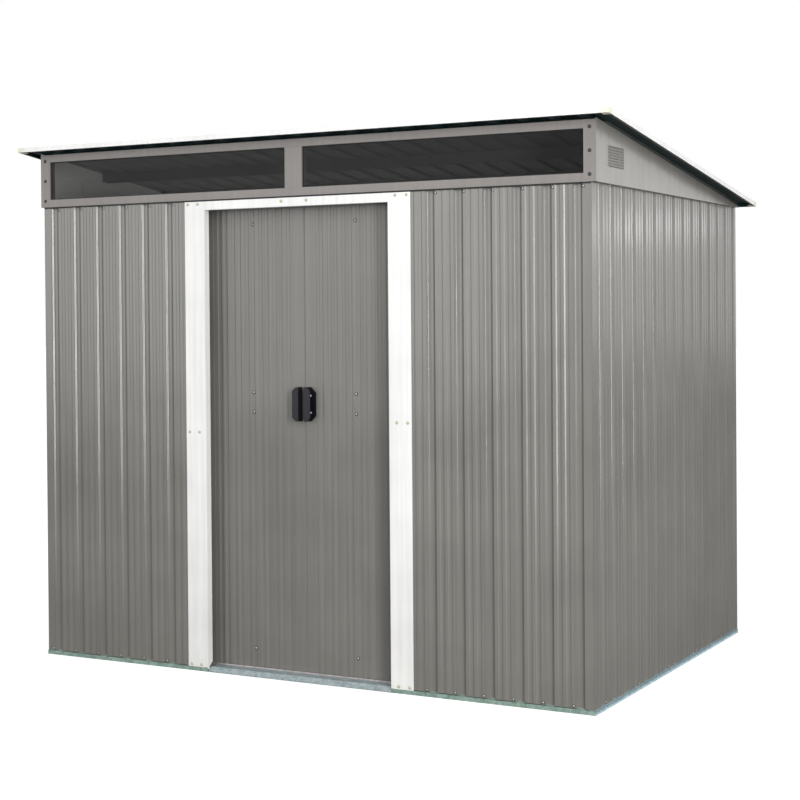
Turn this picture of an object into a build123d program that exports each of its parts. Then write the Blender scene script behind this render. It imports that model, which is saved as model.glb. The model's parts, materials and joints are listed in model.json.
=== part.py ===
"""Metal storage shed with a pent roof, transom windows and two sliding door leaves.

Millimetres, +X to the right along the front, +Y to the back, +Z up.
The origin is on the ground, under the middle of the roof's plan.
"""

import os
from math import atan, cos, degrees, sin

from build123d import *

# Overall sizes
shed_width = 2430.0          # over the side walls
shed_depth = 1750.0          # over the front and back walls
wall_height = 1872.0         # ground to the top of the wall sheets
transom_height = 218.5       # window frame between the front wall and the roof
front_overhang = 61.0        # roof beyond the front wall
back_overhang = 15.0         # roof beyond the back wall
side_overhang = 88.5         # roof beyond each side wall

# Corrugated wall and roof sheet
sheet_thickness = 1.0
groove_pitch = 115.4
groove_width = 38.0          # at the face of the sheet
groove_floor = 26.0
groove_depth = 12.0
bead_width = 20.0            # shallow bead pressed in on each side of a groove
bead_floor = 10.0
bead_depth = 1.8
bead_offset = 41.7           # middle of a groove to the middle of the bead beside it
front_groove_start = 54.0    # corner to the first groove, front and back walls
side_groove_start = 88.0     # corner to the first groove, side walls
roof_groove_start = 65.0     # edge of the roof sheet to its first groove

# Folded steel
rail_thickness = 1.2
trim_thickness = 1.5
fit_gap = 0.4                # between pieces that are only laid against each other
cut_margin = 1.0             # how far a cut runs past the faces it goes through

# Base rail
base_height = 16.0
base_proud = 2.0             # outside the face of the wall
base_flange = 42.0           # flat part on the ground
base_upstand = 30.0          # behind the bottom of the wall sheet
base_skirt = 5.0             # sloping foot of the side rails, outwards and upwards
base_lip = 3.0               # ledge along the top of the side rails
front_wall_gap = 2.5         # front sheets stop above the base rail

# Inner frame
post_leg = 22.0
rail_height = 34.0
rail_depth = 18.0
rail_lip = 14.0              # turned down along the inner edge
rail_end_gap = 1.6           # end of the front rail to the jamb
top_rail_drop = 4.0          # top of the inner rail below the top of the wall
beam_height = 38.0
beam_width = 28.0
beam_count = 2
beam_spacing = 440.0         # along the slope, from the front wall

# Transom frame and windows
transom_overhang = 17.0      # beyond each side wall, in line with the gable sheets
transom_depth = 34.0
transom_rail_height = 31.0
transom_stile_width = 47.0
transom_mullion_width = 76.0
window_recess = 10.0
window_thickness = 3.0

# Louvres pressed out of the gable sheets
vent_front = 118.0           # front wall to the near ends of the louvres
vent_width = 161.0
vent_height = 77.0
vent_bottom = 62.0           # above the bottom of the gable sheet
louvre_count = 8
louvre_height = 6.6
louvre_proud = 4.0

# Doorway
doorway_width = 820.0
jamb_width = 94.0
jamb_return = 30.0
jamb_cut_height = 22.0       # bottom corner of the return, cut clear of the sill
header_height = 36.0
header_drop = 4.0            # header below the top of the wall
sill_rise = 3.0              # top of the sill above the base rail
sill_toe = 3.0               # upright edge at the foot of the sill's ramp
sill_ramp = 18.0             # from front to back

# Door tracks
track_setback = 73.5         # face of the wall to the inside of the track
track_width = 32.5           # inside
lower_track_height = 23.4
upper_track_height = 28.0
track_end_gap = 3.0

# Door leaves
leaf_width = 455.5
leaf_gap = 5.0               # between the closed leaves
leaf_front_clearance = 5.3   # leaf to the lip of the track
leaf_thickness = 21.2
leaf_bottom_clearance = 10.0
leaf_top_clearance = 10.0
leaf_pair_start = 60.0       # middle of the doorway to the middle of the first pair of beads
leaf_pair_pitch = 64.0
leaf_bead_spacing = 27.0     # between the two beads of a pair
meeting_stile_width = 50.0
outer_stile_width = 36.0
leaf_rail_height = 30.0
top_rail_inset = 49.8        # top of the leaf to the middle of its top rail
bottom_rail_inset = 85.8     # bottom of the leaf to the middle of its bottom rail
middle_rails_height = 1110.5
middle_rails_spacing = 77.0
glide_length = 46.0
glide_reach = 4.5            # beyond the leaf, into the track
glide_inset = 60.0           # end of the leaf to the glide
glide_height = 38.0

# Handles
handle_height = 133.0
handle_centre = 1067.5
handle_seam_gap = 10.5       # edge of the leaf to the web
handle_flange = 37.0
handle_lip = 27.0
handle_projection = 34.0
handle_wall = 3.0
handle_flange_chamfer = 22.0
handle_lip_chamfer = 15.0

# Roof
roof_lift = 6.0              # sheet above the transom frame and the back wall
roof_seat = 0.5              # between the sheet and what carries it
fascia_drop = 2.5            # fascia below the underside of the sheet
fascia_rise = 2.7            # fascia above the pans of the sheet
fascia_top_flange = 26.0
fascia_wall_gap = 4.0        # bottom flange to the face of the back wall
cap_length = 30.0
cap_wall = 2.4

# Places worked out from the sizes
half_width = shed_width / 2
front_y = -(front_overhang + shed_depth + back_overhang) / 2 + front_overhang
back_y = front_y + shed_depth
profile_depth = groove_depth + sheet_thickness
upstand_place = profile_depth
transom_top = wall_height + transom_height
roof_slope = atan(transom_height / shed_depth)
gable_face = half_width + transom_overhang
doorway_half = doorway_width / 2
leaf_inner = leaf_gap / 2
leaf_outer = leaf_inner + leaf_width
leaf_front = track_setback + leaf_front_clearance
leaf_back = leaf_front + leaf_thickness
leaf_bottom = rail_thickness + leaf_bottom_clearance
track_top = wall_height
leaf_top = track_top - rail_thickness - leaf_top_clearance
meeting_return = leaf_inner + meeting_stile_width / 2
outer_return = leaf_outer - outer_stile_width / 2
roof_half = half_width + side_overhang
roof_front = (-front_overhang + fascia_drop * sin(roof_slope)) / cos(roof_slope)
fascia_top = profile_depth + fascia_rise
fascia_bottom_flange = back_overhang - fascia_wall_gap
roof_back = (shed_depth + back_overhang - fascia_top * sin(roof_slope)) / cos(roof_slope)
roof_place = Location((0, front_y, transom_top + roof_lift), (-degrees(roof_slope), 0, 0))


def folded(path, thickness):
    """Closed outline of a strip folded along a path, thickened to the path's left."""
    points = [Vector(*point) for point in path]
    turns = []
    for before, after in zip(points, points[1:]):
        run = (after - before).normalized()
        turns.append(Vector(-run.Y, run.X))
    sides = [turns[0]]
    for first, second in zip(turns, turns[1:]):
        sides.append((first + second) / (1 + first.dot(second)))
    sides.append(turns[-1])
    inner = [point + side * thickness for point, side in zip(points, sides)]
    return [(point.X, point.Y) for point in points + inner[::-1]]


def along_x(outline, start, end):
    """Outline in Y and Z, run from one X to another."""
    plane = Plane(origin=(start, 0, 0), x_dir=(0, 1, 0), z_dir=(1, 0, 0))
    return extrude(plane * make_face(Polyline(*outline, close=True)), amount=end - start, dir=(1, 0, 0))


def along_y(outline, start, end):
    """Outline in X and Z, run from one Y to another."""
    plane = Plane(origin=(0, start, 0), x_dir=(1, 0, 0), z_dir=(0, -1, 0))
    return extrude(plane * make_face(Polyline(*outline, close=True)), amount=end - start, dir=(0, 1, 0))


def along_z(outline, start, end):
    """Outline in X and Y, run from one Z to another."""
    plane = Plane(origin=(0, 0, start))
    return extrude(plane * make_face(Polyline(*outline, close=True)), amount=end - start, dir=(0, 0, 1))


def block(x_range, y_range, z_range):
    """Box between two places on each axis."""
    sizes = [high - low for low, high in (x_range, y_range, z_range)]
    centre = [(high + low) / 2 for low, high in (x_range, y_range, z_range)]
    return Pos(*centre) * Box(*sizes)


def mirrored(solid):
    """The same piece on the other side of the shed."""
    return mirror(solid, about=Plane.YZ)


def save(name, *solids):
    """Write one node, with as many separate solids as it has."""
    shape = solids[0] if len(solids) == 1 else Compound(children=list(solids))
    export_step(shape, f"parts/{name}.step")


def groove_places(start, end, first):
    """Middles of the grooves that fit whole between the two edges of a sheet."""
    room = groove_width / 2 + sheet_thickness
    places = []
    place = first
    while place + room < end:
        if place - room > start:
            places.append(place)
        place += groove_pitch
    return places


def bead_places(start, end, grooves):
    """Middles of the beads beside the grooves, where they fit whole."""
    room = bead_width / 2 + sheet_thickness
    beside = [place + offset for place in grooves for offset in (-bead_offset, bead_offset)]
    return [place for place in beside if start + room < place < end - room]


def ribbed(start, end, grooves, beads):
    """Outline of a pressed sheet as places along it and depths behind its face."""
    dips = [(place, groove_width, groove_floor, groove_depth) for place in grooves]
    dips += [(place, bead_width, bead_floor, bead_depth) for place in beads]
    path = [(start, 0)]
    for place, width, floor, depth in sorted(dips):
        path.append((place - width / 2, 0))
        path.append((place - floor / 2, depth))
        path.append((place + floor / 2, depth))
        path.append((place + width / 2, 0))
    path.append((end, 0))
    return folded(path, sheet_thickness)


def sheet_outline(start, end, first):
    """Wall or roof sheet between two edges, with its first groove placed."""
    grooves = groove_places(start, end, first)
    return ribbed(start, end, grooves, bead_places(start, end, grooves))


def front_wall_right():
    inner = doorway_half + trim_thickness + fit_gap
    outer = half_width - sheet_thickness - fit_gap
    outline = sheet_outline(-outer, -inner, -half_width + front_groove_start)
    points = [(-along, front_y + depth) for along, depth in outline]
    return along_z(points, base_height + front_wall_gap, wall_height)


def back_wall():
    edge = half_width - sheet_thickness - fit_gap
    outline = sheet_outline(-edge, edge, -half_width + front_groove_start)
    points = [(along, back_y - depth) for along, depth in outline]
    return along_z(points, base_height, wall_height)


def right_wall():
    outline = sheet_outline(front_y, back_y, front_y + side_groove_start)
    points = [(half_width - depth, along) for along, depth in outline]
    return along_z(points, base_height, wall_height)


def base_outline(face):
    """Base rail section behind its face, as distances out from the wall and heights."""
    path = [
        (base_proud - base_flange, 0),
        *face,
        (-upstand_place, base_height),
        (-upstand_place, base_height + base_upstand),
    ]
    return folded(path, rail_thickness)


def plain_face():
    """Upright face of the front and back rails."""
    return [(base_proud, 0), (base_proud, base_height)]


def skirted_face():
    """Face of the side rails, with a foot that slopes out to the ground."""
    return [(base_skirt, 0), (0, base_skirt), (0, base_height)]


def base_mitre(outer, front, back):
    """Prism round the base whose ends run in at 45 degrees from the corners of the plan."""
    inner = outer - base_flange
    corners = [
        (outer + base_skirt, front),
        (outer + base_skirt, back),
        (outer, back),
        (inner, back - base_flange),
        (inner, front + base_flange),
        (outer, front),
    ]
    return along_z(corners, -cut_margin, base_height + base_upstand + cut_margin)


def side_prism():
    """Room of the right-hand rail between the mitres of the front and back rails."""
    return base_mitre(half_width + base_proud, front_y - base_proud, back_y + base_proud)


def base_rail_front():
    """Front rail, with only its flat flange left across the doorway."""
    span = half_width + base_proud
    outline = [(front_y - outward, height) for outward, height in base_outline(plain_face())]
    rail = along_x(outline, -span, span)
    gap = doorway_half + trim_thickness + fit_gap
    above = base_height + base_upstand + cut_margin
    depths = (front_y - base_proud - cut_margin, front_y + base_flange)
    rail -= block((-gap, gap), depths, (rail_thickness, above))
    return rail - side_prism() - mirrored(side_prism())


def base_rail_back():
    span = half_width + base_proud
    outline = [(back_y + outward, height) for outward, height in base_outline(plain_face())]
    return along_x(outline, -span, span) - side_prism() - mirrored(side_prism())


def base_rail_right():
    """Side rail with a ledge along its top and a sloping foot."""
    outline = [(half_width + outward, height) for outward, height in base_outline(skirted_face())]
    ends = (front_y - base_proud, back_y + base_proud)
    rail = along_y(outline, *ends)
    ledge = block((half_width, half_width + base_lip), ends, (base_height - rail_thickness, base_height))
    return (rail + ledge) & side_prism()


def door_sill():
    """Plate that ramps up from the base rail's flange and runs back to the lower track."""
    front = front_y - base_proud
    back = front_y + track_setback - rail_thickness - fit_gap
    top = base_height + sill_rise
    path = [
        (front, rail_thickness),
        (front, rail_thickness + sill_toe),
        (front + sill_ramp, top),
        (back, top),
        (back, 0),
    ]
    edge = doorway_half - fit_gap
    return along_x(folded(path, -rail_thickness), -edge, edge)


def track_span():
    """Half the length of the door tracks, between the flats of the side rails."""
    return half_width + base_proud - base_flange - track_end_gap


def door_bottom_track():
    front = front_y + track_setback
    back = front + track_width
    path = [
        (front - rail_thickness, lower_track_height),
        (front - rail_thickness, 0),
        (back + rail_thickness, 0),
        (back + rail_thickness, lower_track_height),
    ]
    return along_x(folded(path, rail_thickness), -track_span(), track_span())


def door_top_track():
    front = front_y + track_setback
    back = front + track_width
    path = [
        (front - rail_thickness, track_top - upper_track_height),
        (front - rail_thickness, track_top),
        (back + rail_thickness, track_top),
        (back + rail_thickness, track_top - upper_track_height),
    ]
    return along_x(folded(path, -rail_thickness), -track_span(), track_span())


def front_top_rail():
    """Angle behind the top of the front wall that carries the upper track."""
    front = front_y + profile_depth
    back = front_y + track_setback - rail_thickness
    path = [
        (front, track_top - rail_height),
        (front, track_top),
        (back, track_top),
        (back, track_top - rail_lip),
    ]
    return along_x(folded(path, -rail_thickness), -track_span(), track_span())


def channel(depth_start, low, height):
    """Inner rail section: a channel that opens downwards and lies behind the sheet."""
    path = [
        (depth_start, low),
        (depth_start, low + height),
        (depth_start + rail_depth, low + height),
        (depth_start + rail_depth, low + height - rail_lip),
    ]
    return folded(path, -rail_thickness)


def wall_rails(low):
    """Inner rails of the two side walls and the back wall at one height."""
    section = channel(profile_depth, low, rail_height)
    corner = profile_depth + rail_depth + fit_gap
    front = front_y + corner
    back = back_y - corner
    right = along_y([(half_width - depth, height) for depth, height in section], front, back)
    behind = [(back_y - depth, height) for depth, height in section]
    edge = half_width - corner
    return [mirrored(right), right, along_x(behind, -edge, edge)]


def wall_top_rails():
    return wall_rails(wall_height - top_rail_drop - rail_height)


def wall_mid_rails():
    low = (base_height + wall_height - rail_height) / 2
    section = channel(profile_depth, low, rail_height)
    front = [(front_y + depth, height) for depth, height in section]
    inner = doorway_half + trim_thickness + rail_end_gap
    outer = half_width - profile_depth - rail_depth - fit_gap
    right = along_x(front, inner, outer)
    return wall_rails(low) + [mirrored(right), right]


def right_post(corner_y, inward):
    """Angle inside one right-hand corner of the wall sheets."""
    inside = sheet_thickness + bead_depth + fit_gap
    x = half_width - inside
    y = corner_y + inward * inside
    heights = (base_height, wall_height - rail_thickness - fit_gap)
    across = block((x - post_leg, x), sorted((y, y + inward * rail_thickness)), heights)
    along = block((x - rail_thickness, x), sorted((y, y + inward * post_leg)), heights)
    return across + along


def corner_posts():
    posts = [right_post(front_y, 1), right_post(back_y, -1)]
    return posts + [mirrored(post) for post in posts]


def right_jamb():
    """White angle round the edge of the front wall, with its return into the doorway."""
    face = block(
        (doorway_half, doorway_half + jamb_width),
        (front_y - trim_thickness, front_y),
        (base_height, wall_height - fit_gap),
    )
    inside = block(
        (doorway_half, doorway_half + trim_thickness),
        (front_y - trim_thickness, front_y + jamb_return),
        (base_height, wall_height - rail_height - fit_gap),
    )
    back = front_y + jamb_return + cut_margin
    low = base_height - cut_margin
    cut = [(front_y, low), (back, low), (back, base_height + jamb_cut_height)]
    ends = (doorway_half - cut_margin, doorway_half + trim_thickness + cut_margin)
    return face + inside - along_x(cut, *ends)


def door_header():
    """White angle across the top of the doorway, between the jambs."""
    top = wall_height - header_drop
    bottom = top - header_height
    path = [
        (front_y - trim_thickness, top),
        (front_y - trim_thickness, bottom),
        (front_y + jamb_return, bottom),
    ]
    edge = doorway_half - fit_gap
    return along_x(folded(path, trim_thickness), -edge, edge)


def transom_bottom_rail():
    path = [
        (front_y + transom_depth, wall_height),
        (front_y, wall_height),
        (front_y, wall_height + transom_rail_height),
        (front_y + transom_depth, wall_height + transom_rail_height),
    ]
    edge = gable_face - transom_stile_width
    return along_x(folded(path, -trim_thickness), -edge, edge)


def transom_top_rail():
    """Channel over the windows, with an upstand along its back that carries the roof sheet."""
    slope = transom_height / shed_depth
    back = front_y + transom_depth
    path = [
        (back, transom_top - transom_rail_height),
        (front_y, transom_top - transom_rail_height),
        (front_y, transom_top),
        (back, transom_top - transom_depth * slope),
        (back, roof_underside(back) - roof_seat),
    ]
    edge = gable_face - transom_stile_width
    return along_x(folded(path, -trim_thickness), -edge, edge)


def transom_right_stile():
    """End of the window frame: a face and a return beside the glass."""
    outer = gable_face
    inner = gable_face - transom_stile_width
    slope = transom_height / shed_depth
    path = [
        (outer, front_y),
        (inner, front_y),
        (inner, front_y + transom_depth),
    ]
    stile = along_z(folded(path, -trim_thickness), wall_height, transom_top)
    reach = transom_depth + cut_margin
    over = [
        (front_y, transom_top),
        (front_y + reach, transom_top - reach * slope),
        (front_y + reach, transom_top + cut_margin),
        (front_y, transom_top + cut_margin),
    ]
    return stile - along_x(over, inner - cut_margin, outer + cut_margin)


def window_edges():
    """Bottom and top of the glass, between the rails of the transom frame."""
    return wall_height + transom_rail_height, transom_top - transom_rail_height


def transom_mullion():
    """Channel between the windows, with a return beside each glass."""
    bottom, top = window_edges()
    half = transom_mullion_width / 2
    path = [
        (-half, front_y + transom_depth),
        (-half, front_y),
        (half, front_y),
        (half, front_y + transom_depth),
    ]
    return along_z(folded(path, trim_thickness), bottom, top)


def right_window():
    bottom, top = window_edges()
    glass_face = front_y + window_recess
    return block(
        (transom_mullion_width / 2, gable_face - transom_stile_width),
        (glass_face, glass_face + window_thickness),
        (bottom, top),
    )


def roof_underside(y):
    """Height of the underside of the roof sheet over a place along the depth."""
    return transom_top + roof_lift - (y - front_y) * transom_height / shed_depth


def louvre(low):
    """Hood over one slot of the vent, with its closed ends, and the cut for the slot."""
    near = front_y + vent_front
    far = near + vent_width
    high = low + louvre_height
    outside = gable_face + louvre_proud
    blade = [
        (gable_face - sheet_thickness, high),
        (gable_face, high),
        (outside, low),
        (outside - sheet_thickness, low),
    ]
    cheek = [(gable_face, high), (outside, low), (gable_face, low)]
    hood = along_y(blade, near, far)
    hood += along_y(cheek, near, near + sheet_thickness)
    hood += along_y(cheek, far - sheet_thickness, far)
    slot = block(
        (gable_face - sheet_thickness - cut_margin, gable_face + cut_margin),
        (near + sheet_thickness, far - sheet_thickness),
        (low, high),
    )
    return hood, slot


def right_gable():
    """Sheet under the slope of the roof, with louvres and a flange along its foot."""
    front = front_y + trim_thickness
    outline = [
        (front, wall_height),
        (back_y, wall_height),
        (back_y, roof_underside(back_y) - roof_seat),
        (front, roof_underside(front) - roof_seat),
    ]
    sheet = along_x(outline, gable_face - sheet_thickness, gable_face)
    sheet += block(
        (half_width - profile_depth, gable_face - sheet_thickness),
        (front_y + transom_depth + fit_gap, back_y),
        (wall_height, wall_height + sheet_thickness),
    )
    for index in range(louvre_count):
        hood, slot = louvre(wall_height + vent_bottom + index * vent_height / louvre_count)
        sheet = sheet - slot + hood
    return sheet


def roof_sheet():
    """Corrugated sheet with its grooves from front to back, pans up."""
    edge = roof_half - cap_wall - fit_gap
    outline = sheet_outline(-edge, edge, -edge + roof_groove_start)
    section = [(x, profile_depth - depth) for x, depth in outline]
    inset = cap_wall + fit_gap
    return roof_place * along_y(section, roof_front + inset, roof_back - inset)


def fascia_section():
    """Channel over the edge of the roof, as distances in from the edge and heights."""
    path = [
        (fascia_bottom_flange, -fascia_drop),
        (0, -fascia_drop),
        (0, fascia_top),
        (fascia_top_flange, fascia_top),
    ]
    return folded(path, -rail_thickness)


def front_fascia():
    section = [(roof_front + inward, height) for inward, height in fascia_section()]
    edge = roof_half - cap_length
    return roof_place * along_x(section, -edge, edge)


def back_fascia():
    section = [(roof_back - inward, height) for inward, height in fascia_section()]
    edge = roof_half - cap_length
    return roof_place * along_x(section, -edge, edge)


def right_fascia():
    section = [(roof_half - inward, height) for inward, height in fascia_section()]
    return roof_place * along_y(section, roof_front + cap_length, roof_back - cap_length)


def roof_corner_caps():
    """Moulded caps that close the corners of the fascias, open to the roof."""
    caps = []
    low = -fascia_drop
    for edge_y, inward in ((roof_front, 1), (roof_back, -1)):
        outside = block(
            (roof_half - cap_length, roof_half),
            sorted((edge_y, edge_y + inward * cap_length)),
            (low, fascia_top),
        )
        inside = block(
            (roof_half - cap_length - cut_margin, roof_half - cap_wall),
            sorted((edge_y + inward * cap_wall, edge_y + inward * (cap_length + cut_margin))),
            (low + fascia_drop - fit_gap, fascia_top - cap_wall),
        )
        cap = roof_place * (outside - inside)
        caps += [mirrored(cap), cap]
    return caps


def roof_beams():
    """Channels across the shed under the roof sheet, held by the gable sheets."""
    edge = gable_face - sheet_thickness
    beams = []
    for index in range(beam_count):
        middle = beam_spacing * (index + 1)
        path = [
            (middle - beam_width / 2, -beam_height),
            (middle - beam_width / 2, 0),
            (middle + beam_width / 2, 0),
            (middle + beam_width / 2, -beam_height),
        ]
        beams.append(roof_place * along_x(folded(path, -rail_thickness), -edge, edge))
    return beams


def leaf_y(depth):
    """Depth behind the wall's face, as a place along the shed."""
    return front_y + depth


def leaf_beads():
    """Middles of the beads that show whole between the two stiles of the leaf."""
    start = leaf_inner + meeting_stile_width + bead_width / 2
    end = leaf_outer - outer_stile_width - bead_width / 2
    places = []
    pair = leaf_pair_start
    while pair < leaf_outer:
        places += [pair - leaf_bead_spacing / 2, pair + leaf_bead_spacing / 2]
        pair += leaf_pair_pitch
    return [place for place in places if start < place < end]


def right_door_sheet():
    """Sheet of the right leaf, pressed with pairs of fine beads."""
    inner = leaf_inner + rail_thickness + fit_gap
    outer = leaf_outer - rail_thickness - fit_gap
    face = leaf_y(leaf_front + rail_thickness)
    points = [(along, face + depth) for along, depth in ribbed(inner, outer, [], leaf_beads())]
    return along_z(points, leaf_bottom, leaf_top)


def leaf_frame_depths():
    """Front and back of what lies in the leaf, between the sheet and the stiles' returns."""
    front = leaf_y(leaf_front + rail_thickness + bead_depth + sheet_thickness)
    back = leaf_y(leaf_back - rail_thickness - fit_gap)
    return front, back


def right_door_stiles():
    """Channels round the two upright edges of the leaf."""
    front = leaf_y(leaf_front)
    back = leaf_y(leaf_back)
    meeting = [
        (leaf_inner + meeting_stile_width, front),
        (leaf_inner, front),
        (leaf_inner, back),
        (meeting_return, back),
    ]
    outer = [
        (leaf_outer - outer_stile_width, front),
        (leaf_outer, front),
        (leaf_outer, back),
        (outer_return, back),
    ]
    return [
        along_z(folded(meeting, -rail_thickness), leaf_bottom, leaf_top),
        along_z(folded(outer, rail_thickness), leaf_bottom, leaf_top),
    ]


def right_door_rails():
    """Channels across the back of the leaf, between its stiles."""
    front, back = leaf_frame_depths()
    middles = [
        leaf_bottom + bottom_rail_inset,
        middle_rails_height - middle_rails_spacing / 2,
        middle_rails_height + middle_rails_spacing / 2,
        leaf_top - top_rail_inset,
    ]
    rails = []
    for middle in middles:
        low = middle - leaf_rail_height / 2
        high = middle + leaf_rail_height / 2
        path = [(back, low), (front, low), (front, high), (back, high)]
        rails.append(along_x(folded(path, -rail_thickness), meeting_return, outer_return))
    return rails


def right_door_glides():
    """Nylon shoes on the ends of the leaf that run in the two tracks."""
    front, back = leaf_frame_depths()
    glides = []
    for inner in (leaf_inner + glide_inset, leaf_outer - glide_inset - glide_length):
        across = (inner, inner + glide_length)
        low = leaf_bottom - glide_reach
        high = leaf_top + glide_reach
        glides.append(block(across, (front, back), (low, low + glide_height)))
        glides.append(block(across, (front, back), (high - glide_height, high)))
    return glides


def handle_plate(length, chamfer, inner, face):
    """Upright plate with its two corners away from the seam cut off."""
    low = handle_centre - handle_height / 2
    high = handle_centre + handle_height / 2
    outer = inner + length
    outline = [
        (inner, low),
        (outer - chamfer, low),
        (outer, low + chamfer),
        (outer, high - chamfer),
        (outer - chamfer, high),
        (inner, high),
    ]
    return along_y(outline, face, face + handle_wall)


def right_handle():
    """Moulded pull: flange on the stile, web out from the leaf, lip over the flange."""
    inner = leaf_inner + handle_seam_gap
    leaf_face = leaf_y(leaf_front)
    lip_face = leaf_face - handle_projection
    flange = handle_plate(handle_flange, handle_flange_chamfer, inner, leaf_face - handle_wall)
    lip = handle_plate(handle_lip, handle_lip_chamfer, inner, lip_face)
    low = handle_centre - handle_height / 2
    high = handle_centre + handle_height / 2
    web = block((inner, inner + handle_wall), (lip_face, leaf_face), (low, high))
    return flange + web + lip


def main():
    os.makedirs("parts", exist_ok=True)
    save("base_rail_front", base_rail_front())
    save("base_rail_back", base_rail_back())
    save("base_rail_left", mirrored(base_rail_right()))
    save("base_rail_right", base_rail_right())
    save("door_sill", door_sill())
    save("door_bottom_track", door_bottom_track())
    save("door_top_track", door_top_track())
    save("front_top_rail", front_top_rail())
    save("front_wall_left", mirrored(front_wall_right()))
    save("front_wall_right", front_wall_right())
    save("left_wall", mirrored(right_wall()))
    save("right_wall", right_wall())
    save("back_wall", back_wall())
    save("corner_posts", *corner_posts())
    save("wall_top_rails", *wall_top_rails())
    save("wall_mid_rails", *wall_mid_rails())
    save("left_jamb", mirrored(right_jamb()))
    save("right_jamb", right_jamb())
    save("door_header", door_header())
    save("transom_bottom_rail", transom_bottom_rail())
    save("transom_top_rail", transom_top_rail())
    save("transom_left_stile", mirrored(transom_right_stile()))
    save("transom_right_stile", transom_right_stile())
    save("transom_mullion", transom_mullion())
    save("left_window", mirrored(right_window()))
    save("right_window", right_window())
    save("left_gable", mirrored(right_gable()))
    save("right_gable", right_gable())
    save("roof_sheet", roof_sheet())
    save("roof_beams", *roof_beams())
    save("front_fascia", front_fascia())
    save("back_fascia", back_fascia())
    save("left_fascia", mirrored(right_fascia()))
    save("right_fascia", right_fascia())
    save("roof_corner_caps", *roof_corner_caps())
    leaf_pieces = {
        "door_sheet": [right_door_sheet()],
        "door_stiles": right_door_stiles(),
        "door_rails": right_door_rails(),
        "door_glides": right_door_glides(),
        "handle": [right_handle()],
    }
    for name, solids in leaf_pieces.items():
        save(f"right_{name}", *solids)
        save(f"left_{name}", *[mirrored(solid) for solid in solids])


main()
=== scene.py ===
"""Looks of the metal storage shed: paint, galvanising, tinted windows, screws and seals.

Metres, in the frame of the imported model: +X to the right along the front, +Y to the back,
+Z up, with the origin on the ground under the middle of the roof's plan.
"""
import json
import math
import random

import bmesh
import bpy
from mathutils import Matrix, Vector


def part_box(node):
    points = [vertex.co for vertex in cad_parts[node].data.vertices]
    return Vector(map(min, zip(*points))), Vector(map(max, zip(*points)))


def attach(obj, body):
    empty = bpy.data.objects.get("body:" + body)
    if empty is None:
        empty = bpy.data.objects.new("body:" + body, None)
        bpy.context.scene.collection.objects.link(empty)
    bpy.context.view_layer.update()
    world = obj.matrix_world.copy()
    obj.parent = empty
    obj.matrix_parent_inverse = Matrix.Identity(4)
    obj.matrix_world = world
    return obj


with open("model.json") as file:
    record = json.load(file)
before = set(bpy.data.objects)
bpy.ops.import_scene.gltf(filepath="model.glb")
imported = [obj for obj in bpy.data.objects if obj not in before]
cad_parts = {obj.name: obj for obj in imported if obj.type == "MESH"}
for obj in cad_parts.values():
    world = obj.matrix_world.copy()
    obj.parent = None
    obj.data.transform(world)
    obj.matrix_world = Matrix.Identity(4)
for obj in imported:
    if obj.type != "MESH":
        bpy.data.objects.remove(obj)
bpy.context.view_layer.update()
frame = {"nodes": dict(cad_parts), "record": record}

random.seed(7)

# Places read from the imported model
front_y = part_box("front_wall_left")[0].y
back_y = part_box("back_wall")[1].y
side_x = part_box("right_wall")[1].x
gable_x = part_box("transom_right_stile")[1].x
wall_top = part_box("front_wall_left")[1].z
base_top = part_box("right_wall")[0].z
jamb_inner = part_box("right_jamb")[0].x
jamb_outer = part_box("right_jamb")[1].x
jamb_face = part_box("right_jamb")[0].y
header_low, header_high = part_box("door_header")
leaf_low, leaf_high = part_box("right_door_stiles")
handle_low, handle_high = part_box("right_handle")
window_low, window_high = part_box("right_window")
stile_low, stile_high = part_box("transom_right_stile")

# Grooves and beads of the ribbed sheets
groove_pitch = 0.1154
groove_width = 0.038
groove_depth = 0.012
front_groove_start = 0.054          # corner to the first groove, front and back walls
side_groove_start = 0.088           # corner to the first groove, side walls
flank_steepness = (0.62, 0.25)      # share of its slope that a flank keeps, at its middle and ends
bead_steepness = 1.5
floor_dish = 42                     # sideways lean of a groove floor's normal, for each metre off its middle

# Screws
wall_screw = 0.0034
jamb_screw = 0.0038
frame_screw = 0.0042
leaf_screw = 0.0042
handle_screw = 0.004
washer_share = 1.6                  # rim of the washer over the radius of the head
screw_beside_groove = 0.024
wall_screw_drop = 0.014             # below the top of a wall
wall_screw_rise = 0.011             # above its foot
jamb_screw_heights = (0.026, 1.856)
jamb_screw_middles = ((-1, 0.952), (1, 1.010))
jamb_screw_insets = (0.016, 0.062)
header_screws = (-0.054, 0.058)
header_screw_drop = 0.015
frame_screw_shares = (0.12, 0.5, 0.88)
leaf_screw_heights = (0.097, 1.033, 1.11, 1.773)
leaf_screw_place = 0.2305
leaf_screw_shift = -0.0045
leaf_face_depth = 0.0012            # face of a leaf's sheet behind its stiles
handle_screw_place = 0.0264
handle_screw_offset = 0.033
handle_flange = 0.003

# Seals
seal_width = 0.0035
seal_proud = 0.0025
# Height of the dark strip under the window frame, which is painted shade
shadow_strip_height = 0.006
brush_depth = 0.01
brush_setback = 0.0006
brush_end_gap = 0.004

# Colours
wall_colour = (0.188, 0.183, 0.168)
door_colour = (0.185, 0.18, 0.166)
# Gables paler than the walls: painted light
gable_painted_light_colour = (0.31, 0.302, 0.28)
transom_colour = (0.24, 0.223, 0.212)
white_colour = (0.87, 0.87, 0.86)
roof_colour = wall_colour
primer_colour = (0.2, 0.2, 0.195)
# Pale inner faces of the gables: painted light standing in for light that falls inside
inside_painted_light_colour = (0.85, 0.85, 0.83)
eaves_colour = (0.014, 0.032, 0.034)
# Dust tints mixed in low down: dust, and also painted shade that darkens the lower parts
grey_dust_and_shade = (0.16, 0.15, 0.13)
white_dust_and_shade = (0.5, 0.48, 0.42)

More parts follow.
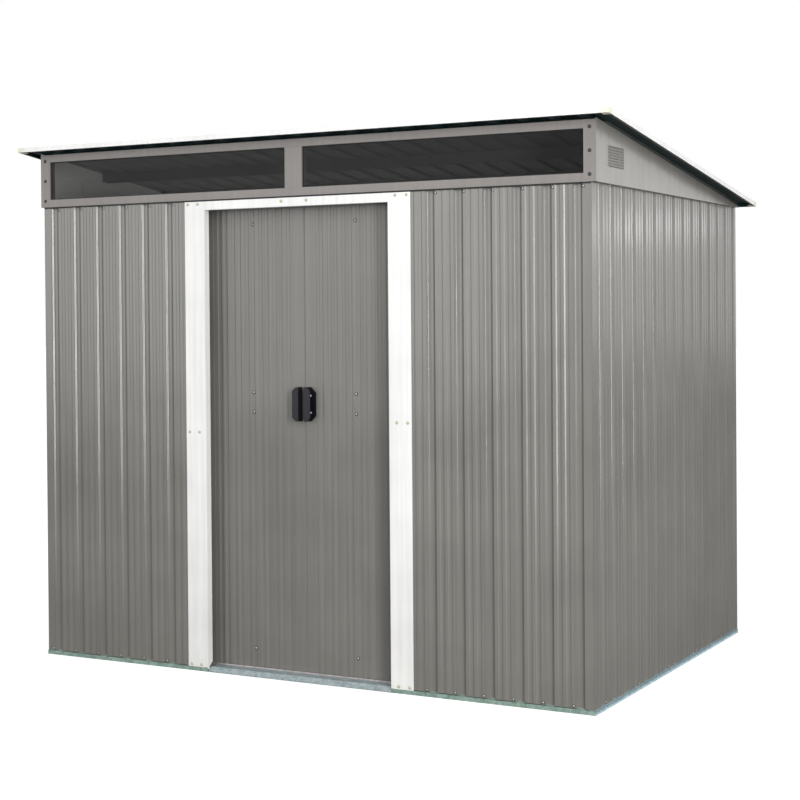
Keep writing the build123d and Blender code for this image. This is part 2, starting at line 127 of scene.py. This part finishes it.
# Gloss of the paints: each spreads by 0.03 and stays clear of 0.274, where thin lines show
wall_roughness = 0.21
paint_roughness = 0.23
trim_roughness = 0.33
roof_roughness = 0.5
roughness_spread = 0.03

# Depth of the green eaves paint behind the front wall
eaves_reach = 0.12

# Camera, fitted to the walls' corners in the photograph
camera_place = Vector((3.3478, -6.4196, 1.4085))
camera_yaw = math.radians(28.92)
camera_pitch = math.radians(0.728)
camera_roll = math.radians(0.443)
camera_lens = 76.01
camera_shift = (0.05466, -0.07826)

# Softboxes: place, target, size and power
key_softbox = ((4.8, -4.8, 2.45), (0.3, -0.6, 1.8), (1.3, 4.5), 275)
front_softbox = ((-3.4, -5.8, 2.3), (-0.6, -0.9, 0.9), (4.2, 3.2), 46)
rim_strip = ((2.6, 3.7, 1.95), (1.2, -0.2, 1.72), (0.5, 0.14), 0.9)
inside_softbox = ((-0.5, 0.1, 0.3), (-0.6, 0.1, 2.0), (0.5, 0.5), 9)

# Floor and background
fill_level = 0.87
floor_reach = 60.0
floor_bounce = (0.27, 0.27, 0.265)
floor_seen = (0.5, 0.5, 0.5)
floor_glow = 0.68


def make_camera():
    """Camera that looks along the yaw and pitch, with a slight roll."""
    forward = Vector((
        -math.sin(camera_yaw) * math.cos(camera_pitch),
        math.cos(camera_yaw) * math.cos(camera_pitch),
        -math.sin(camera_pitch),
    ))
    level = Vector((math.cos(camera_yaw), math.sin(camera_yaw), 0))
    down = forward.cross(level)
    right = math.cos(camera_roll) * level + math.sin(camera_roll) * down
    below = -math.sin(camera_roll) * level + math.cos(camera_roll) * down
    data = bpy.data.cameras.new("camera")
    data.sensor_width = 36
    data.lens = camera_lens
    data.shift_x, data.shift_y = camera_shift
    camera = bpy.data.objects.new("camera", data)
    turn = Matrix((right, -below, -forward)).transposed().to_4x4()
    camera.matrix_world = Matrix.Translation(camera_place) @ turn
    bpy.context.scene.collection.objects.link(camera)
    bpy.context.scene.camera = camera


def area_light(name, place, target, size, power):
    """Rectangular softbox that faces a target."""
    data = bpy.data.lights.new(name, "AREA")
    data.shape = "RECTANGLE"
    data.size, data.size_y = size
    data.energy = power
    light = bpy.data.objects.new(name, data)
    light.location = place
    light.rotation_euler = (Vector(target) - Vector(place)).to_track_quat("-Z", "Y").to_euler()
    bpy.context.scene.collection.objects.link(light)
    return light


class Nodes:
    """Short names for the nodes of one material or world."""

    def __init__(self, tree):
        self.tree = tree

    def add(self, kind, **settings):
        node = self.tree.nodes.new(kind)
        for name, value in settings.items():
            setattr(node, name, value)
        return node

    def link(self, source, target):
        self.tree.links.new(source, target)

    def position(self, scale=(1, 1, 1)):
        """Place on the piece in metres, stretched along its axes."""
        coords = self.add("ShaderNodeTexCoord")
        mapping = self.add("ShaderNodeMapping")
        mapping.inputs["Scale"].default_value = scale
        self.link(coords.outputs["Object"], mapping.inputs["Vector"])
        return mapping.outputs["Vector"]

    def noise(self, vector, scale, detail=3.0, roughness=0.55):
        node = self.add("ShaderNodeTexNoise")
        node.inputs["Scale"].default_value = scale
        node.inputs["Detail"].default_value = detail
        node.inputs["Roughness"].default_value = roughness
        self.link(vector, node.inputs["Vector"])
        return node.outputs["Fac"]

    def spread(self, value, source, target):
        """Value carried from one range to another, held at its ends."""
        node = self.add("ShaderNodeMapRange")
        for socket, number in zip(("From Min", "From Max", "To Min", "To Max"), (*source, *target)):
            node.inputs[socket].default_value = number
        self.link(value, node.inputs["Value"])
        return node.outputs["Result"]

    def math(self, operation, first, second=0):
        node = self.add("ShaderNodeMath", operation=operation)
        for socket, value in zip(node.inputs, (first, second)):
            if isinstance(value, (int, float)):
                socket.default_value = value
            else:
                self.link(value, socket)
        return node.outputs[0]

    def mix(self, factor, first, second):
        """Two colours mixed, each a colour or another node's output."""
        node = self.add("ShaderNodeMix", data_type="RGBA")
        sockets = (node.inputs[0], node.inputs[6], node.inputs[7])
        for socket, value in zip(sockets, (factor, first, second)):
            if isinstance(value, tuple):
                socket.default_value = (*value, 1)
            else:
                self.link(value, socket)
        return node.outputs[2]

    def split(self, vector):
        """X, Y and Z of a vector."""
        node = self.add("ShaderNodeSeparateXYZ")
        self.link(vector, node.inputs[0])
        return node.outputs["X"], node.outputs["Y"], node.outputs["Z"]

    def true_normal(self):
        """Normal of the flat face, before any shading bends it."""
        return self.add("ShaderNodeNewGeometry").outputs["True Normal"]

    def bevel(self, radius):
        """Normals of edges rounded to a radius."""
        node = self.add("ShaderNodeBevel")
        node.samples = 6
        node.inputs["Radius"].default_value = radius
        return node.outputs["Normal"]

    def bump(self, height, strength, distance, below=None):
        node = self.add("ShaderNodeBump")
        node.inputs["Strength"].default_value = strength
        node.inputs["Distance"].default_value = distance
        self.link(height, node.inputs["Height"])
        if below:
            self.link(below, node.inputs["Normal"])
        return node.outputs["Normal"]


def new_surface(name):
    """Material with its Principled shader, and short names for its nodes."""
    material = bpy.data.materials.new(name)
    material.use_nodes = True
    nodes = Nodes(material.node_tree)
    return material, nodes, material.node_tree.nodes["Principled BSDF"]


def painted(name, colour, roughness, bend=0.001, specular=0.5, waves=1.0, dust_and_shade=grey_dust_and_shade,
            most_dust_and_shade=0.3, normals=None):
    """Gloss paint on rolled sheet: rounded bends, long faint waves, fine grain, and dust low down that is
    also painted shade, darker towards the bottom.
    """
    material, nodes, shader = new_surface(name)
    here = nodes.position()
    streaks = nodes.noise(nodes.position((55, 55, 1.5)), 1.0, detail=4)
    clouds = nodes.noise(here, 3.5, detail=2)
    tone = nodes.spread(nodes.math("ADD", streaks, clouds), (0.7, 1.3), (0.0, 1.0))
    dark = tuple(0.9 * part for part in colour)
    light = tuple(1.08 * part for part in colour)
    paint = nodes.mix(tone, dark, light)
    # Darker towards the bottom in patches: dust, and also painted shade for the light that falls off low
    # down
    low = nodes.spread(nodes.split(here)[2], (0.0, 0.5), (1.0, 0.0))
    patches = nodes.spread(nodes.noise(here, 9.0, detail=2), (0.2, 0.8), (0.15, 1.0))
    dust_and_shade_mask = nodes.math("MULTIPLY", nodes.math("MULTIPLY", low, low), patches)
    dust_and_shade_share = nodes.math("MULTIPLY", dust_and_shade_mask, most_dust_and_shade)
    nodes.link(nodes.mix(dust_and_shade_share, paint, dust_and_shade), shader.inputs["Base Color"])
    gloss = (roughness - roughness_spread, roughness + roughness_spread)
    nodes.link(nodes.spread(clouds, (0.3, 0.7), gloss), shader.inputs["Roughness"])
    shader.inputs["Metallic"].default_value = 0.0
    shader.inputs["Specular IOR Level"].default_value = specular
    grain = nodes.noise(here, 900.0, detail=2)
    long_waves = nodes.noise(nodes.position((16, 16, 1.2)), 1.0, detail=3)
    rounded = normals(nodes) if normals else nodes.bevel(bend)
    rough = nodes.bump(grain, 0.1, 0.0003, below=rounded)
    nodes.link(nodes.bump(long_waves, 0.5, 0.004 * waves, below=rough), shader.inputs["Normal"])
    return material


def rolled(name, across, first, mirrored, depth_axis, face):
    """Wall paint whose grooves are shaded as rolled curves: soft flanks and a dished floor.

    The grooves follow each other along the axis numbered across, from the place of the first,
    and sink along depth_axis from the sheet's face, both taken on either side of the middle.
    """
    def normals(nodes):
        place = nodes.split(nodes.position())
        way = nodes.math("SIGN", place[across]) if mirrored else 1.0
        along = nodes.math("MULTIPLY", place[across], way)
        turns = nodes.math("DIVIDE", nodes.math("SUBTRACT", along, first), groove_pitch)
        offset = nodes.math("SUBTRACT", turns, nodes.math("ROUND", turns))
        offset = nodes.math("MULTIPLY", nodes.math("MULTIPLY", offset, groove_pitch), way)
        depth = nodes.math("SUBTRACT", face, nodes.math("ABSOLUTE", place[depth_axis]))
        share = nodes.math("DIVIDE", depth, groove_depth)
        middle = nodes.math("ABSOLUTE", nodes.math("SUBTRACT", share, 0.5))
        steepness = nodes.spread(middle, (0.1, 0.5), flank_steepness)
        shallow = nodes.math("MULTIPLY", nodes.math("LESS_THAN", share, 0.2), bead_steepness)
        steepness = nodes.math("MAXIMUM", steepness, shallow)
        on_floor = nodes.math("GREATER_THAN", share, 0.9)
        dish = nodes.math("MULTIPLY", on_floor, nodes.math("MULTIPLY", offset, -floor_dish))
        bent = list(nodes.split(nodes.true_normal()))
        bent[across] = nodes.math("ADD", nodes.math("MULTIPLY", bent[across], steepness), dish)
        joined = nodes.add("ShaderNodeCombineXYZ")
        for value, socket in zip(bent, joined.inputs):
            nodes.link(value, socket)
        unit = nodes.add("ShaderNodeVectorMath", operation="NORMALIZE")
        nodes.link(joined.outputs[0], unit.inputs[0])
        return unit.outputs[0]

    return painted(name, wall_colour, wall_roughness, specular=0.9, waves=0.4, normals=normals)


def repaint(material, share, colour):
    """Another colour over a share of the material's own."""
    nodes = Nodes(material.node_tree)
    socket = material.node_tree.nodes["Principled BSDF"].inputs["Base Color"]
    nodes.link(nodes.mix(share, socket.links[0].from_socket, colour), socket)


def facing_inward(nodes):
    """One on upright faces that look towards the middle of the shed."""
    product = nodes.add("ShaderNodeVectorMath", operation="MULTIPLY")
    nodes.link(nodes.true_normal(), product.inputs[0])
    nodes.link(nodes.position((1, 1, 0)), product.inputs[1])
    along, across, _ = nodes.split(product.outputs[0])
    return nodes.math("LESS_THAN", nodes.math("ADD", along, across), -0.2)


def roof_paint(name):
    """Painted sheet: grey above, primer inside the shed and dark green under the eaves."""
    material = painted(name, roof_colour, roof_roughness, 0.004, specular=0.15, most_dust_and_shade=0.0)
    nodes = Nodes(material.node_tree)
    normal = nodes.split(nodes.true_normal())
    down = nodes.spread(normal[2], (-0.05, 0.05), (1.0, 0.0))
    under = nodes.math("MAXIMUM", down, nodes.math("LESS_THAN", normal[1], -0.9))
    x, y, _ = nodes.split(nodes.position())
    beyond_side = nodes.math("GREATER_THAN", nodes.math("ABSOLUTE", x), gable_x - 0.001)
    beyond_front = nodes.math("LESS_THAN", y, front_y + eaves_reach)
    outside = nodes.math("MAXIMUM", beyond_side, beyond_front)
    repaint(material, under, primer_colour)
    repaint(material, nodes.math("MULTIPLY", under, outside), eaves_colour)
    return material


def gable_painted_light(name):
    """Wall paint made paler as painted light, with its inner faces paler still as painted light."""
    material = painted(name, gable_painted_light_colour, paint_roughness)
    # Inner faces paler still: painted light
    repaint(material, facing_inward(Nodes(material.node_tree)), inside_painted_light_colour)
    return material


def fascia_paint(name):
    """White trim whose inner and lower faces are dark green, as the eaves are."""
    material = painted(name, white_colour, trim_roughness, 0.0015, waves=0.4, most_dust_and_shade=0.0)
    nodes = Nodes(material.node_tree)
    under = nodes.math("LESS_THAN", nodes.split(nodes.true_normal())[2], -0.05)
    repaint(material, nodes.math("MAXIMUM", facing_inward(nodes), under), eaves_colour)
    return material


def galvanised(name, dull=(0.27, 0.33, 0.345), bright=(0.5, 0.58, 0.6)):
    """Zinc with spangle, cloudy, slightly blue unless another tint is given."""
    material, nodes, shader = new_surface(name)
    here = nodes.position()
    crystals = nodes.add("ShaderNodeTexVoronoi")
    crystals.inputs["Scale"].default_value = 85.0
    nodes.link(here, crystals.inputs["Vector"])
    cell = nodes.add("ShaderNodeSeparateColor")
    nodes.link(crystals.outputs["Color"], cell.inputs[0])
    fine = nodes.noise(here, 260.0, detail=3)
    tone = nodes.spread(nodes.math("ADD", cell.outputs["Red"], fine), (0.3, 1.7), (0.0, 1.0))
    zinc = nodes.mix(tone, dull, bright)
    stains = nodes.spread(nodes.noise(here, 6.0, detail=5, roughness=0.7), (0.55, 0.8), (0.0, 0.35))
    nodes.link(nodes.mix(stains, zinc, (0.36, 0.36, 0.33)), shader.inputs["Base Color"])
    nodes.link(nodes.spread(cell.outputs["Green"], (0, 1), (0.38, 0.58)), shader.inputs["Roughness"])
    shader.inputs["Metallic"].default_value = 0.55
    nodes.link(nodes.bump(fine, 0.2, 0.0002), shader.inputs["Normal"])
    return material


def tinted_window(name):
    """Smoked clear sheet, faintly smudged."""
    material, nodes, shader = new_surface(name)
    smudges = nodes.noise(nodes.position(), 12.0, detail=5, roughness=0.65)
    smoke = nodes.mix(smudges, (0.012, 0.013, 0.013), (0.022, 0.023, 0.022))
    nodes.link(smoke, shader.inputs["Base Color"])
    nodes.link(nodes.spread(smudges, (0.3, 0.8), (0.05, 0.16)), shader.inputs["Roughness"])
    shader.inputs["Alpha"].default_value = 0.35
    shader.inputs["Specular IOR Level"].default_value = 0.15
    sag = nodes.noise(nodes.position((3, 3, 9)), 1.0, detail=1)
    nodes.link(nodes.bump(sag, 0.15, 0.002), shader.inputs["Normal"])
    return material


def moulded(name, colour, roughness, mottle=0.12):
    """Moulded plastic, rubber or a screw head, with a fine matt texture and scuffs."""
    material, nodes, shader = new_surface(name)
    here = nodes.position()
    clouds = nodes.noise(here, 60.0, detail=4)
    dark = tuple(part * (1 - mottle) for part in colour)
    light = tuple(part * (1 + mottle) for part in colour)
    nodes.link(nodes.mix(clouds, dark, light), shader.inputs["Base Color"])
    gloss = (roughness - 0.08, roughness + 0.12)
    scuffs = nodes.spread(nodes.noise(here, 240.0, detail=3), (0.3, 0.8), gloss)
    nodes.link(scuffs, shader.inputs["Roughness"])
    grain = nodes.noise(here, 1400.0, detail=2)
    nodes.link(nodes.bump(grain, 0.25, 0.0002, below=nodes.bevel(0.001)), shader.inputs["Normal"])
    return material


def make_materials():
    """Finish of each material slot. The walls and gables have their own, in own_finishes."""
    return {
        "door_steel": painted("door_paint", door_colour, paint_roughness, 0.002, 0.6, waves=0.6),
        "transom_steel": painted(
            "transom_paint", transom_colour, trim_roughness, 0.0015, waves=0.4, most_dust_and_shade=0.0),
        "white_steel": painted(
            "white_paint", white_colour, trim_roughness, 0.0015, waves=0.4, dust_and_shade=white_dust_and_shade),
        "galvanised_steel": galvanised("zinc"),
        "roof_steel": roof_paint("roof_paint"),
        "window_acrylic": tinted_window("smoked_sheet"),
        "cap_plastic": moulded("cap_plastic", (0.78, 0.77, 0.62), 0.5, mottle=0.05),
        "black_plastic": moulded("black_plastic", (0.005, 0.0055, 0.009), 0.38),
        "nylon": moulded("nylon", (0.7, 0.69, 0.64), 0.5, mottle=0.05),
    }


def own_finishes():
    """Finishes of single pieces that differ from the rest of their slot."""
    own = {}
    trim = fascia_paint("fascia_paint")
    for name in ("front_fascia", "back_fascia", "left_fascia", "right_fascia"):
        own[name] = trim
    own["roof_beams"] = moulded("beam_primer", (0.2, 0.2, 0.195), 0.6)
    own["left_gable"] = own["right_gable"] = gable_painted_light("gable_painted_light")
    # The track's zinc is paler and pinker than the rest: painted light that lifts its shaded top
    own["door_bottom_track"] = galvanised("track_zinc_painted_light", (0.42, 0.37, 0.37), (0.62, 0.55, 0.55))
    # One zinc in two copies: darker and greener at the front as painted shade, paler and bluer on the sides
    # as painted light
    own["base_rail_front"] = galvanised("front_rail_zinc_painted_shade", (0.2, 0.3, 0.26), (0.42, 0.56, 0.49))
    own["base_rail_right"] = galvanised("side_rail_zinc_painted_light", (0.25, 0.36, 0.41), (0.5, 0.66, 0.72))
    own["base_rail_left"] = own["base_rail_right"]
    front = rolled("front_paint", 0, side_x - front_groove_start, True, 1, -front_y)
    own["front_wall_left"] = own["front_wall_right"] = front
    own["back_wall"] = rolled("back_paint", 0, front_groove_start - side_x, False, 1, back_y)
    sides = rolled("side_paint", 1, front_y + side_groove_start, False, 0, side_x)
    own["left_wall"] = own["right_wall"] = sides
    return own


def dress_nodes(materials):
    """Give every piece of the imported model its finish."""
    own = own_finishes()
    for part in frame["record"]["subparts"]:
        name = part["node"]
        finish = own[name] if name in own else materials[part["material_slot"]]
        for slot in frame["nodes"][name].material_slots:
            slot.material = finish


def mesh_piece(name, mesh_maker, finishes, body):
    """New piece from a function that fills a bmesh, riding on a body."""
    shape = bmesh.new()
    mesh_maker(shape)
    mesh = bpy.data.meshes.new(name)
    shape.to_mesh(mesh)
    shape.free()
    for finish in finishes:
        mesh.materials.append(finish)
    piece = bpy.data.objects.new(name, mesh)
    bpy.context.scene.collection.objects.link(piece)
    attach(piece, body)


def lathe(shape, profile, place, normal, finish=0, sides=14):
    """Turn a profile of (radius, height) round an axis from a surface, closed at its tip."""
    normal = Vector(normal).normalized()
    across = normal.orthogonal().normalized()
    along = normal.cross(across)
    place = Vector(place)
    spin = random.random() * math.tau
    rings = []
    for radius, height in profile:
        ring = []
        for index in range(sides):
            angle = spin + index * math.tau / sides
            offset = radius * (math.cos(angle) * across + math.sin(angle) * along)
            ring.append(shape.verts.new(place + offset + height * normal))
        rings.append(ring)
    for lower, upper in zip(rings, rings[1:]):
        for index in range(sides):
            follow = (index + 1) % sides
            face = shape.faces.new((lower[index], lower[follow], upper[follow], upper[index]))
            face.smooth = True
            face.material_index = finish
    shape.faces.new(rings[-1]).material_index = finish
    shape.faces.new(rings[0][::-1]).material_index = finish


def screw(shape, place, normal, radius):
    """Pan-head screw on a rubber washer, with a drive recess in its crown."""
    crown = 0.62 * radius
    rim = washer_share * radius
    seat = 0.0008
    lathe(shape, [(rim, 0), (rim, 0.0007), (0.92 * rim, 0.001)], place, normal, finish=1)
    profile = [(0.95 * radius, seat)]
    for step in range(1, 5):
        angle = step * math.pi / 2 / 5
        profile.append((0.95 * radius * math.cos(angle), seat + crown * math.sin(angle)))
    profile.append((0.28 * radius, seat + 0.98 * crown))
    profile.append((0.2 * radius, seat + 0.45 * crown))
    lathe(shape, profile, place, normal)


def box_strip(shape, low, high):
    """Straight strip between two corners."""
    verts = []
    for z in (low[2], high[2]):
        for y in (low[1], high[1]):
            for x in (low[0], high[0]):
                verts.append(shape.verts.new(Vector((x, y, z))))
    for face in ((0, 2, 3, 1), (4, 5, 7, 6), (0, 1, 5, 4), (2, 6, 7, 3), (0, 4, 6, 2), (1, 3, 7, 5)):
        shape.faces.new([verts[index] for index in face])


def groove_places(first, end):
    """Middles of the grooves of a sheet, from the first to the sheet's end."""
    places = []
    place = first
    while place + groove_width / 2 < end:
        places.append(place)
        place += groove_pitch
    return places


def wall_screws(shape):
    """Rows of screws along the top and the foot of the front and back walls, and the sides' foot."""
    top = wall_top - wall_screw_drop
    foot = base_top + wall_screw_rise
    left_sheet = groove_places(-side_x + front_groove_start, -jamb_inner)
    for place in left_sheet + [-place for place in left_sheet]:
        if abs(place) > jamb_outer:
            screw(shape, (place + screw_beside_groove, front_y, top), (0, -1, 0), wall_screw)
            screw(shape, (place - screw_beside_groove, front_y, foot), (0, -1, 0), wall_screw)
    for side in (-1, 1):
        for place in groove_places(front_y + side_groove_start, back_y)[::3]:
            along = place + screw_beside_groove
            screw(shape, (side * side_x, along, foot), (side, 0, 0), wall_screw)
    for place in groove_places(-side_x + front_groove_start, side_x):
        screw(shape, (place + screw_beside_groove, back_y, top), (0, 1, 0), wall_screw)
        screw(shape, (place - screw_beside_groove, back_y, foot), (0, 1, 0), wall_screw)


def jamb_screws(shape):
    """Pairs of screws down each jamb, and two in the header."""
    low, high = jamb_screw_heights
    for side, middle in jamb_screw_middles:
        for height in (low, middle, high):
            for inset in jamb_screw_insets:
                across = side * (jamb_outer - inset)
                screw(shape, (across, jamb_face, height), (0, -1, 0), jamb_screw)
    for place in header_screws:
        height = header_high.z - header_screw_drop
        screw(shape, (place, header_low.y, height), (0, -1, 0), jamb_screw)


def transom_screws(shape):
    """Three screws down each end of the window frame."""
    for side in (-1, 1):
        place = side * (stile_low.x + stile_high.x) / 2
        for share in frame_screw_shares:
            height = stile_low.z + share * (stile_high.z - stile_low.z)
            screw(shape, (place, stile_low.y, height), (0, -1, 0), frame_screw)


def leaf_screws(side):
    """Screws through the middle of a leaf into its four rails."""
    def fill(shape):
        place = side * leaf_screw_place + leaf_screw_shift
        face = leaf_low.y + leaf_face_depth
        for height in leaf_screw_heights:
            screw(shape, (place, face, height), (0, -1, 0), leaf_screw)
    return fill


def handle_screws(side):
    """Two screws through the flange of a handle."""
    def fill(shape):
        middle = (handle_low.z + handle_high.z) / 2
        face = leaf_low.y - handle_flange
        for offset in (-handle_screw_offset, handle_screw_offset):
            place = (side * handle_screw_place, face, middle + offset)
            screw(shape, place, (0, -1, 0), handle_screw)
    return fill


def window_seals(shape):
    """Thin rubber round each window, against the frame."""
    face = window_low.y
    front = face - seal_proud
    low, high = window_low.z, window_high.z
    for side in (-1, 1):
        inner, outer = sorted((side * window_low.x, side * window_high.x))
        box_strip(shape, (inner, front, low), (outer, face, low + seal_width))
        box_strip(shape, (inner, front, high - seal_width), (outer, face, high))
        for edge in (inner, outer - seal_width):
            box_strip(
                shape, (edge, front, low + seal_width), (edge + seal_width, face, high - seal_width))


def shadow_gap_strip(shape):
    """Dark strip under the window frame, along the top of the front wall: painted shade for the shadowed gap
    there.
    """
    reach = side_x - 0.001
    low = (-reach, jamb_face - 0.0006, wall_top - shadow_strip_height)
    box_strip(shape, low, (reach, front_y + 0.001, wall_top - 0.0002))


def meeting_brush(shape):
    """Grey brush on the left leaf that closes the gap between the leaves."""
    gap = leaf_low.x
    front = leaf_low.y + brush_setback
    low = (-gap, front, leaf_low.z + brush_end_gap)
    box_strip(shape, low, (0.5 * gap, front + brush_depth, leaf_high.z - brush_end_gap))


def seen_rays(nodes, *kinds):
    """One for rays of these kinds, such as the camera's."""
    path = nodes.add("ShaderNodeLightPath")
    share = path.outputs[kinds[0]]
    for kind in kinds[1:]:
        share = nodes.math("MAXIMUM", share, path.outputs[kind])
    return share


def floor_material():
    """Pale where it is seen, so that it meets the background, and plain grey as a bounce."""
    material = bpy.data.materials.new("floor")
    material.use_nodes = True
    nodes = Nodes(material.node_tree)
    material.node_tree.nodes.clear()
    output = nodes.add("ShaderNodeOutputMaterial")
    seen = seen_rays(nodes, "Is Camera Ray", "Is Transmission Ray")
    plain = nodes.add("ShaderNodeBsdfDiffuse")
    plain.inputs["Color"].default_value = (*floor_bounce, 1)
    shaded = nodes.add("ShaderNodeBsdfDiffuse")
    shaded.inputs["Color"].default_value = (*floor_seen, 1)
    glow = nodes.add("ShaderNodeEmission")
    glow.inputs["Strength"].default_value = floor_glow
    both = nodes.add("ShaderNodeAddShader")
    nodes.link(shaded.outputs[0], both.inputs[0])
    nodes.link(glow.outputs[0], both.inputs[1])
    mixed = nodes.add("ShaderNodeMixShader")
    nodes.link(seen, mixed.inputs[0])
    nodes.link(plain.outputs[0], mixed.inputs[1])
    nodes.link(both.outputs[0], mixed.inputs[2])
    nodes.link(mixed.outputs[0], output.inputs["Surface"])
    return material


def make_floor():
    """Pale floor that keeps the shed's shadow."""
    corners = [(-1, -1), (1, -1), (1, 1), (-1, 1)]
    mesh = bpy.data.meshes.new("floor")
    mesh.from_pydata([(x * floor_reach, y * floor_reach, 0) for x, y in corners], [], [(0, 1, 2, 3)])
    floor = bpy.data.objects.new("floor", mesh)
    bpy.context.scene.collection.objects.link(floor)
    mesh.materials.append(floor_material())


def make_world():
    """White where it is seen, and softer as a fill light."""
    world = bpy.data.worlds.new("world")
    bpy.context.scene.world = world
    world.use_nodes = True
    nodes = Nodes(world.node_tree)
    world.node_tree.nodes.clear()
    output = nodes.add("ShaderNodeOutputWorld")
    background = nodes.add("ShaderNodeBackground")
    seen = seen_rays(nodes, "Is Camera Ray", "Is Glossy Ray", "Is Transmission Ray")
    background.inputs["Color"].default_value = (1, 1, 1, 1)
    nodes.link(nodes.spread(seen, (0, 1), (fill_level, 1.0)), background.inputs["Strength"])
    nodes.link(background.outputs[0], output.inputs["Surface"])


def make_lights():
    """Tall key light from the right, a soft one from the left, a strip behind and one inside."""
    area_light("key_softbox", *key_softbox)
    area_light("front_softbox", *front_softbox)
    area_light("rim_strip", *rim_strip)
    inside = area_light("inside_softbox", *inside_softbox)
    inside.visible_camera = False
    inside.visible_glossy = False


def make_shed_details():
    """Screws, seals, a dark strip of painted shade under the window frame, and brush."""
    seal = moulded("rubber_seal", (0.012, 0.012, 0.014), 0.6)
    brush = moulded("brush", (0.2, 0.195, 0.18), 0.8)
    zinc_head = moulded("screw_zinc", (0.55, 0.56, 0.55), 0.38, mottle=0.05)
    yellow_head = moulded("screw_yellow", (0.62, 0.62, 0.42), 0.38, mottle=0.05)
    yellow_rim = moulded("washer_yellow", (0.42, 0.45, 0.3), 0.5, mottle=0.05)
    dark_head = moulded("screw_dark", (0.07, 0.07, 0.07), 0.38)
    pale = [zinc_head, seal]
    yellow = [yellow_head, yellow_rim]
    dark = [dark_head, seal]
    mesh_piece("wall_screws", wall_screws, pale, "shed")
    mesh_piece("jamb_screws", jamb_screws, yellow, "shed")
    mesh_piece("transom_screws", transom_screws, dark, "shed")
    mesh_piece("window_seals", window_seals, [seal], "shed")
    mesh_piece("shadow_gap_strip", shadow_gap_strip, [seal], "shed")
    mesh_piece("meeting_brush", meeting_brush, [brush], "left_door")
    for name, side in (("left", -1), ("right", 1)):
        body = f"{name}_door"
        mesh_piece(f"{name}_leaf_screws", leaf_screws(side), pale, body)
        mesh_piece(f"{name}_handle_screws", handle_screws(side), pale, body)


bpy.context.scene.view_settings.view_transform = "Standard"
make_camera()
make_lights()
make_world()
make_floor()
dress_nodes(make_materials())
make_shed_details()
